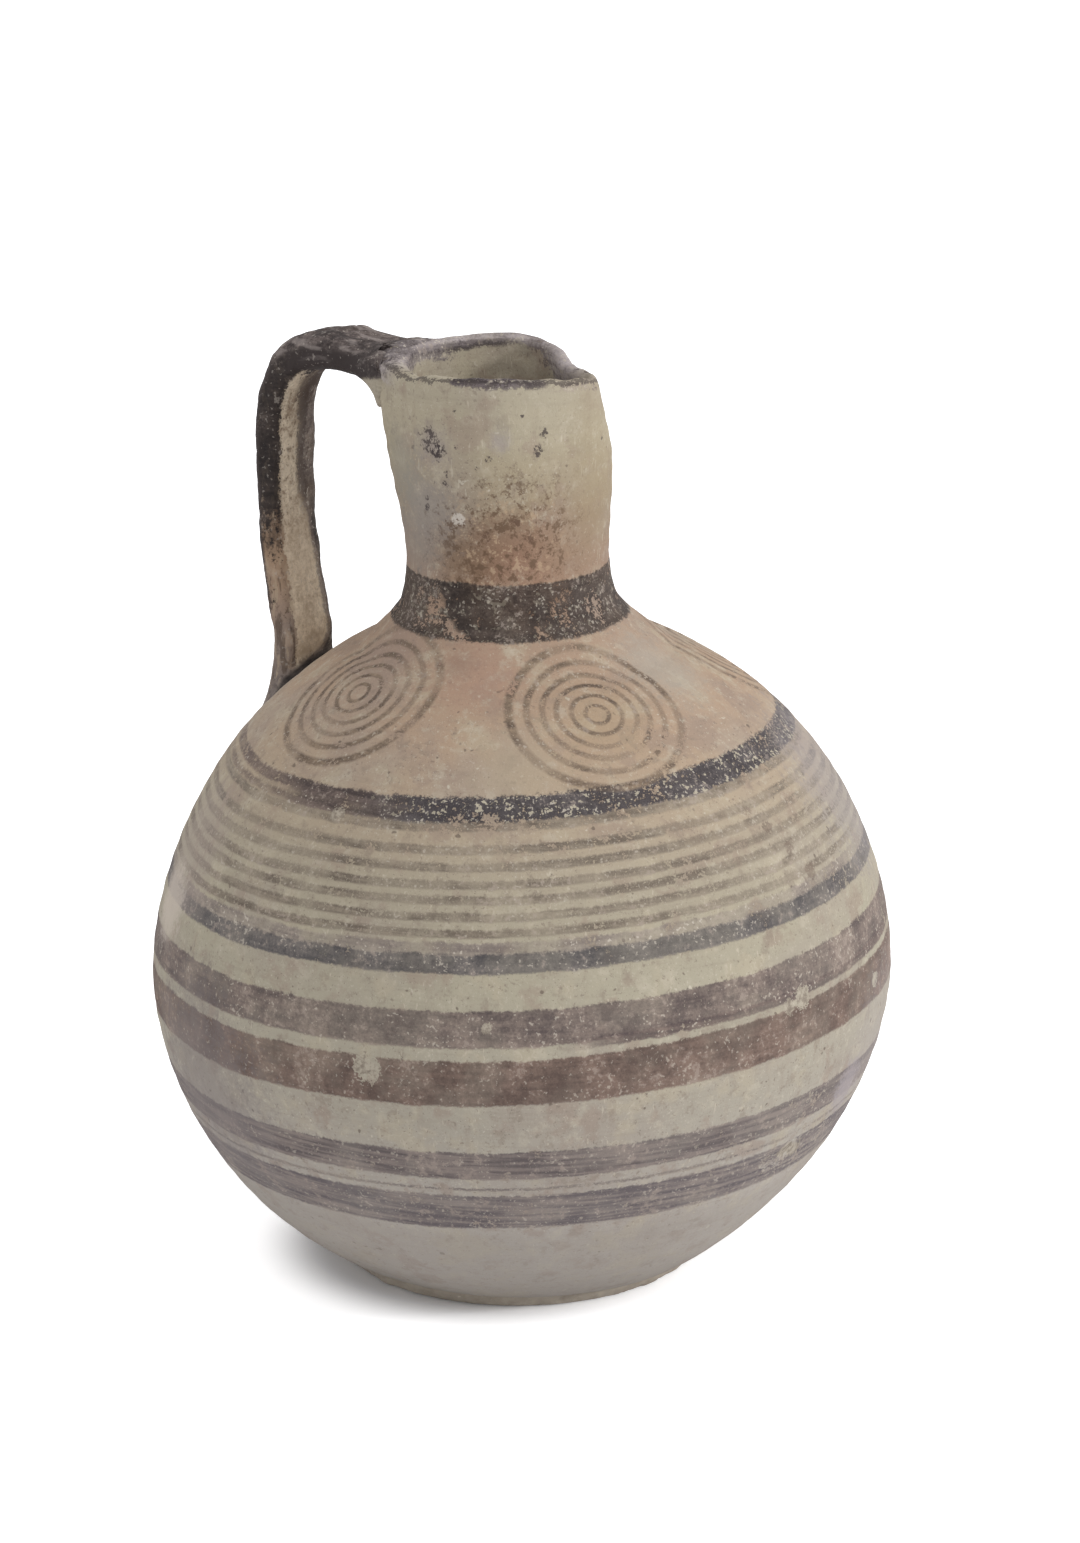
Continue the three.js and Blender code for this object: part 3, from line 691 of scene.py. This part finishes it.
ARM_RUN, ARM_SPREAD, ARM_HEIGHT, ARM_LUMPS = 24, 12, 0.4, (0.22, 6, 44)
HANDLE_DEPTH = 1.6
OVER_RIM, OVER_RIM_EDGES, OVER_RIM_NEAR = 1.0, 3.0, 4.0
UNDER_RIM, UNDER_RIM_NEAR = 6.5, 1.5
ROOT_OUTSIDE, ROOT_INSIDE, ROOT_EDGES = 5.0, 2.5, 3.0
CREST_GAP, CREST_FROM, CREST_TO, CREST_SLOPE = 0.8, 27, 34, 0.35
CAP_SHARES = (0.2, 0.45, 0.7)
NECK_FROM = 160


def wall_distance(points):
    """Distance out of the jug's wall: radial from the leaning neck, whose lip is a quarter round, and from
    the shoulder the oval's own value, which is 0 on it, over the length of its slope."""
    x, y, z = points.T
    dx, dy = axis_shift(z)
    radius = np.hypot(x - dx, y - dy)
    azimuth = azimuth_of(x - dx, y - dy)
    up_lip = np.clip((z - crest(azimuth) + RIM_HEIGHT - LIP_HEIGHT) / (RIM_HEIGHT - LIP_HEIGHT), 0, 1)
    swollen = saddle(azimuth, z)
    neck_radius = np.interp(z, outside[:, 1], outside[:, 0]) + swollen
    neck_radius = neck_radius - (lip_half + swollen / 2) * (1 - np.sqrt(1 - up_lip**2))
    rise = np.maximum(z - BELLY_HEIGHT, 1e-6) / CROWN_RISE
    level = (radius / BELLY_RADIUS) ** 2 + rise**CROWN_FULLNESS - 1
    steepness = CROWN_FULLNESS * rise ** (CROWN_FULLNESS - 1) / CROWN_RISE
    slope = np.hypot(2 * radius / BELLY_RADIUS**2, steepness)
    return np.where(z > NECK_FROM, radius - neck_radius, level / slope)


def wall_normal(points):
    """Way out of the wall: the slope of its distance, by small differences along each axis."""
    slope = [wall_distance(points + 0.05 * e) - wall_distance(points - 0.05 * e) for e in np.eye(3)]
    slope = np.stack(slope, -1)
    return slope / (np.linalg.norm(slope, axis=-1, keepdims=True) + 1e-9)


# The strap is a squared oval section carried along its path, then lumped and nubbed.
path = spline(HANDLE_KNOTS, HANDLE_STEP)
run = np.concatenate([[0], np.cumsum(np.linalg.norm(np.diff(path, axis=0), axis=1))])
way = np.gradient(path, axis=0)
way /= np.linalg.norm(way, axis=1)[:, None]
angle = np.arange(SECTION_POINTS) * (2 * math.pi / SECTION_POINTS)
across, over = (np.sign(v) * np.abs(v) ** (2 / SECTION_SQUARE) for v in (np.cos(angle), np.sin(angle)))
width = np.interp(run, STRAP_RUNS, STRAP_WIDTHS)[:, None] / 2 * across
thickness = np.interp(run, STRAP_RUNS, STRAP_THICKNESSES)[:, None] / 2 * over
centre = np.stack([-path[:, 0], 0 * run, path[:, 1]], -1)[:, None]
outer = np.stack([way[:, 1], 0 * run, way[:, 0]], -1)[:, None]
sideways = np.array([0, 1, 0])
points = (centre + outer * thickness[..., None] + sideways * width[..., None]).reshape(-1, 3)
out = (outer * np.sin(angle)[:, None] + sideways * np.cos(angle)[:, None]).reshape(-1, 3)
along = np.repeat(run, SECTION_POINTS)
face, side = (np.tile(v, len(run)) for v in (np.sin(angle), np.cos(angle)))
lumps = sum(height * grain(points, size, seed) for height, size, seed in STRAP_LUMPS)
lumps += NUB_HEIGHT * np.exp(-((points - HANDLE_NUB) ** 2).sum(-1) / NUB_SIZE)
arm_lumps = ARM_LUMPS[0] * grain(points, *ARM_LUMPS[1:]) + ARM_HEIGHT
lumps += np.exp(-((along - ARM_RUN) / ARM_SPREAD) ** 2) * np.maximum(face, 0) * arm_lumps
points += out * lumps[:, None]

# Both ends spread along the wall in a fillet, and what would reach into the wall stops at the handle's depth.
nearby = np.maximum(-side, 0) ** 2
over_rim = OVER_RIM + OVER_RIM_EDGES * side**2 + OVER_RIM_NEAR * nearby
under_rim = UNDER_RIM + UNDER_RIM_NEAR * nearby
at_rim = over_rim + (under_rim - over_rim) * smooth(0.5 - 1.4 * face)
at_root = np.where(face > 0, ROOT_OUTSIDE, ROOT_INSIDE + ROOT_EDGES * side**2)
fillet = np.where(along < run[-1] / 2, at_rim, at_root)
far = wall_distance(points)
spread = fillet - np.sqrt(fillet**2 - np.clip(fillet - far, 0, fillet) ** 2)
normal = wall_normal(points)
slide = out - (out * normal).sum(-1, keepdims=True) * normal
slide /= np.linalg.norm(slide, axis=-1, keepdims=True) + 1e-9
points += slide * spread[:, None]
for _ in range(2):
    deep = np.maximum(far, -HANDLE_DEPTH) - wall_distance(points)
    points += wall_normal(points) * np.where(far < fillet, deep, 0)[:, None]
inward = np.hypot(points[:, 0], points[:, 1])
highest = crest(azimuth_of(points[:, 0], points[:, 1])) - CREST_GAP
highest = highest + CREST_SLOPE * np.maximum(inward - CREST_FROM, 0)
points[:, 2] = np.where(inward < CREST_TO, np.minimum(points[:, 2], highest), points[:, 2])

# The end in the neck closes in rings that follow the wall at the handle's depth.
first = points[:SECTION_POINTS]
lead = np.concatenate([first.mean(0) + share * (first - first.mean(0)) for share in CAP_SHARES])
for _ in range(3):
    lead += wall_normal(lead) * (-HANDLE_DEPTH - wall_distance(lead))[:, None]
points = np.concatenate([lead, points])
led_by = lambda v: np.concatenate([*[v[:SECTION_POINTS]] * len(CAP_SHARES), v])
along, face, side = led_by(along), led_by(face), led_by(side)

a, b = corners(np.arange(len(run) + len(CAP_SHARES) - 1), SECTION_POINTS)
faces = np.stack([a, a + SECTION_POINTS, b + SECTION_POINTS, b], -1).tolist()
faces += [list(range(SECTION_POINTS)), list(range(len(points) - 1, len(points) - SECTION_POINTS - 1, -1))]
handle = solid("handle_whole", points, faces, 60)
for name, values in (("along", along), ("face", face), ("side", side), ("off_wall", wall_distance(points))):
    store(handle, name, values)

strap = Skin("handle_paint")
down, facing, far_side, off_wall = (strap.stored(name) for name in ("along", "face", "side", "off_wall"))
down_mm = strap.math("MULTIPLY_ADD", strap.sway, 26, down)
arm = strap.math("MULTIPLY_ADD", strap.rough, 60.0, down)
STRAP_SPAN = 140
STRAP_MARKS = [(strap.fine, 0.42, 0.34, 0.6, (112, 97, 84)), (strap.fine, 0.6, 0.7, 0.5, (222, 211, 192)),
               (strap.dust, 0.38, 0.28, 0.6, (90, 78, 68)), (strap.grit, 0.42, 0.34, 0.5, (138, 118, 100))]
STRAP_STAINS = [(66, 74, 0.35, (150, 130, 110)), (94, 100, 0.3, (160, 144, 126)),
                (102, 110, 0.5, (226, 204, 164))]
STRAP_PAINT = [(0.0, 66, 59, 60), (0.26, 44, 39, 38), (0.44, 46, 41, 39), (0.49, 90, 74, 63),
               (0.55, 150, 126, 104), (0.64, 142, 123, 109), (0.72, 132, 118, 108), (0.82, 98, 90, 88)]
FAR_BORDER = [(0.2, 1.1), (0.29, 0.95), (0.43, 0.88), (0.52, 1.06), (0.62, 1.26), (0.71, 1.3), (0.735, 0.95),
              (0.75, 0.45), (0.77, 0.0)]

# The inner face: pale clay with specks and stains.
strap.colour = strap.mottle(tone(150, 133, 115), tone(212, 198, 177), 0.0)
strap.marks(STRAP_MARKS)
for low, high, share, colour in STRAP_STAINS:
    there = strap.times(strap.step(down_mm, low, high), strap.step(down_mm, high + 14, high + 8))
    strap.paint(there, tone(*colour), share)
# Lower down, the inner face is painted paler: partly its clay's own cream tone, partly painted light that
# lifts the neck's shade on it.
strap.paint(strap.step(down_mm, 58, 84), strap.mottle(tone(206, 188, 164), tone(238, 222, 198)), 0.5)

# The far edge's paint, which reaches onto the inner face by a border that changes along the strap.
border = strap.ramp(strap.times(down, 1 / STRAP_SPAN), [(place, (reach,) * 4) for place, reach in FAR_BORDER])
far_edge = strap.math("MULTIPLY_ADD", strap.rough, 0.7, strap.math("ADD", far_side, 1.0))
far_edge = strap.math("SUBTRACT", far_edge, border)
strap.line(strap.step(far_edge, -0.02, 0.12), tone(84, 73, 68), tone(126, 114, 109), 1.04)
lower_edge = strap.times(strap.step(far_edge, 0.2, 0.3), strap.step(down_mm, 62, 74))
strap.line(lower_edge, tone(40, 36, 35), tone(92, 82, 77), 1.02)
seam = strap.times(strap.step(far_edge, -0.04, 0.04), strap.step(far_edge, 0.3, 0.16))
strap.paint(strap.times(seam, strap.step(down, 72, 60)), tone(70, 59, 54), 0.7)

# The near edge and the outer face: black above, worn to rust brown, with streaks along the strap.
near_edge = strap.math("MULTIPLY_ADD", strap.rough, -1.0, far_side)
outer_face = strap.math("MULTIPLY_ADD", strap.rough, 1.0, facing)
painted = strap.math("MAXIMUM", strap.step(near_edge, -0.7, -0.8), strap.step(outer_face, 0.0, 0.14))
paint_stops = [(place, tone(*colour)) for place, *colour in STRAP_PAINT]
strap.paint(painted, strap.ramp(strap.times(down_mm, 1 / STRAP_SPAN), paint_stops))
streaks = strap.noise(3.0, 3, (1.8, 1.8, 0.4), 12)
for field, low, high, share, colour in [
        (strap.worn, 0.47, 0.4, 0.65, (82, 67, 56)), (strap.grit, 0.54, 0.64, 0.4, (176, 155, 134)),
        (streaks, 0.53, 0.62, 0.65, (76, 62, 52)), (streaks, 0.45, 0.37, 0.5, (168, 150, 128)),
]:
    strap.paint(strap.times(painted, strap.step(field, low, high)), tone(*colour), share)
remains = strap.step(strap.math("MULTIPLY_ADD", strap.rough, 150.0, down), 78, 66)
strap.paint(strap.times(painted, remains), strap.mottle(tone(30, 26, 26), tone(62, 54, 51)), 0.9)
strap.paint(strap.times(painted, strap.step(facing, 0.1, 0.4), strap.step(arm, 92, 84)), tone(62, 54, 52))

# The arm from the rim to the bend: black all round, with crusted smears on top.
strap.paint(strap.step(arm, 32, 28), tone(56, 49, 48))
bend_shade = strap.times(strap.step(arm, 43, 38), strap.step(far_edge, -0.3, -0.1))
strap.paint(bend_shade, tone(80, 67, 60), 0.8)
top = strap.times(strap.step(arm, 40, 32), strap.step(facing, 0.1, 0.7))
strap.line(top, tone(60, 52, 51), tone(122, 111, 107), 0.99, 0.0, 0.3)
smeared = strap.noise(4.5, 4, (0.45, 1.3, 1.3), 9)
crusted = strap.times(strap.step(arm, 42, 30), strap.step(facing, -0.5, 0.5))
strap.paint(strap.times(crusted, strap.step(smeared, 0.53, 0.64)), tone(148, 138, 134), 0.5)
strap.paint(strap.times(crusted, strap.step(smeared, 0.47, 0.38)), tone(50, 43, 42), 0.7)
dulled = strap.times(strap.step(strap.patch, 0.55, 0.65), strap.step(strap.speck, 0.48, 0.56))
strap.paint(dulled, tone(128, 118, 112), 0.35)
strap.paint(strap.fleck, tone(168, 160, 152), 0.35)

# Where the clay is smeared: bare slip under the rim, and darker clay round the root, darkest in the crease
# where the strap meets the shoulder.
under = strap.math("MULTIPLY_ADD", off_wall, 0.6, strap.z)
under = strap.math("MULTIPLY_ADD", strap.rough, 5.0, under)
under = strap.times(strap.step(under, 208.9, 207.7), strap.step(off_wall, 6.5, 4.5), strap.step(down, 60, 50))
strap.paint(under, strap.mottle(tone(136, 127, 113), tone(166, 157, 140)))
low_down = strap.step(down, 90, 100)
root = strap.times(strap.step(strap.math("MULTIPLY_ADD", strap.rough, 4.0, off_wall), 3.0, 1.6), low_down)
strap.paint(root, strap.mottle(tone(78, 70, 69), tone(146, 134, 126)), 0.6)
root = strap.times(strap.step(off_wall, 2.2, 1.0), low_down, strap.step(facing, 0.1, -0.3))
strap.paint(root, strap.mottle(tone(40, 35, 34), tone(72, 64, 60)))
strap.finish(0.6)

handle.data.materials.append(strap.material)
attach(handle, "root")
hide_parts("handle_strap", "handle_rim_pad", "handle_root_pad")


# Studio: a pale plain floor that glows to white but near the jug's foot, where the glow fades out in a
# painted shadow that deepens the jug's own shadow there, a white backdrop that gives only the picture's
# background, a lamp low at the right, a wide soft one above, and the photo's camera.
FLOOR_CORNER, FLOOR_DROP = 3.0, 0.0002
FLOOR_COLOUR, FLOOR_ROUGHNESS, FLOOR_GLOW = (0.9, 0.9, 0.92, 1), 0.95, 0.6
SHADE_PLACE, SHADE_INNER, SHADE_OUTER = (-0.01, -0.002, 0), 0.036, 0.054
KEY_PLACE, KEY_SIZE, KEY_POWER = (2.6, -0.95, 1.1), 0.35, 34.0
TOP_PLACE, TOP_SIZE, TOP_POWER = (0.9, -0.9, 2.6), 1.4, 10.0
JUG_MIDDLE = (0, 0, 0.11)
SKY_LIGHT = 0.86
WHITE = (1, 1, 1, 1)
CAMERA_TARGET = (5.165, 0.0, 115.674)
CAMERA_DISTANCE = 1100.0
CAMERA_ELEVATION = 17.521
CAMERA_ROLL = -0.185
CAMERA_LENS, CAMERA_SENSOR = 111.10, 36.0


def background_rays(tree):
    """1 for the rays that show the picture's background, which come from the camera or off a gloss."""
    rays = add_node(tree, "LightPath").outputs
    seen = rays["Is Camera Ray"], rays["Is Glossy Ray"]
    return add_node(tree, "Math", *seen, operation="MAXIMUM").outputs[0]


floor_mesh = bpy.data.meshes.new("floor")
floor_ways = ((-1, -1), (1, -1), (1, 1), (-1, 1))
floor_corners = [(x * FLOOR_CORNER, y * FLOOR_CORNER, -FLOOR_DROP) for x, y in floor_ways]
floor_mesh.from_pydata(floor_corners, [], [(0, 1, 2, 3)])
floor = bpy.data.objects.new("floor", floor_mesh)
bpy.context.scene.collection.objects.link(floor)
paper = bpy.data.materials.new("floor_paper")
paper.use_nodes = True
tree = paper.node_tree
matt = tree.nodes["Principled BSDF"]
matt.inputs["Base Color"].default_value = FLOOR_COLOUR
matt.inputs["Roughness"].default_value = FLOOR_ROUGHNESS
matt.inputs["Specular IOR Level"].default_value = 0.0
floor_place = add_node(tree, "TexCoord").outputs["Object"]
# The glow fades out towards a place just left of the jug's axis: a painted shadow round the foot, over the
# real one.
shade_place = Matrix.Rotation(TURN, 3, "Z") @ Vector(SHADE_PLACE)
from_foot = add_node(tree, "VectorMath", floor_place, shade_place, operation="DISTANCE").outputs["Value"]
glow_beyond_painted_shadow = add_node(tree, "MapRange", from_foot, SHADE_INNER, SHADE_OUTER, 0.0, FLOOR_GLOW,
                      interpolation_type="SMOOTHSTEP").outputs[0]
strength = add_node(tree, "Math", background_rays(tree), glow_beyond_painted_shadow, operation="MULTIPLY").outputs[0]
glow = add_node(tree, "Emission", None, strength).outputs[0]
total = add_node(tree, "AddShader", matt.outputs[0], glow).outputs[0]
tree.links.new(total, tree.nodes["Material Output"].inputs[0])
floor_mesh.materials.append(paper)


def soft_light(name, place, size, power):
    """Square area light in metres at a place in the photo's frame, turned to the jug's middle."""
    lamp = bpy.data.lights.new(name, "AREA")
    lamp.size, lamp.energy = size, power
    thing = bpy.data.objects.new(name, lamp)
    thing.location = Matrix.Rotation(TURN, 3, "Z") @ Vector(place)
    thing.rotation_euler = (thing.location - Vector(JUG_MIDDLE)).to_track_quat("Z", "Y").to_euler()
    bpy.context.scene.collection.objects.link(thing)


soft_light("key", KEY_PLACE, KEY_SIZE, KEY_POWER)
soft_light("top", TOP_PLACE, TOP_SIZE, TOP_POWER)

world = bpy.data.worlds.new("studio")
bpy.context.scene.world = world
world.use_nodes = True
sky = world.node_tree
lit = sky.nodes["Background"]
lit.inputs[0].default_value = WHITE
lit.inputs[1].default_value = SKY_LIGHT
backdrop = add_node(sky, "Background", WHITE, 1.0)
pick = add_node(sky, "MixShader", background_rays(sky), lit.outputs[0], backdrop.outputs[0])
sky.links.new(pick.outputs[0], sky.nodes["World Output"].inputs[0])

lens = bpy.data.cameras.new("camera")
lens.sensor_fit, lens.sensor_height, lens.lens = "VERTICAL", CAMERA_SENSOR, CAMERA_LENS
camera = bpy.data.objects.new("camera", lens)
climb = math.radians(CAMERA_ELEVATION)
back = CAMERA_DISTANCE * np.array([0, -math.cos(climb), math.sin(climb)])
spin = Matrix.Rotation(TURN, 4, "Z")
roll = Matrix.Rotation(math.radians(CAMERA_ROLL), 4, "Z")
stand = Matrix.Translation((np.array(CAMERA_TARGET) + back) * 0.001)
camera.matrix_world = spin @ stand @ Matrix.Rotation(math.pi / 2 - climb, 4, "X") @ roll
bpy.context.scene.collection.objects.link(camera)
bpy.context.scene.camera = camera

bpy.context.scene.view_settings.view_transform = "Standard"
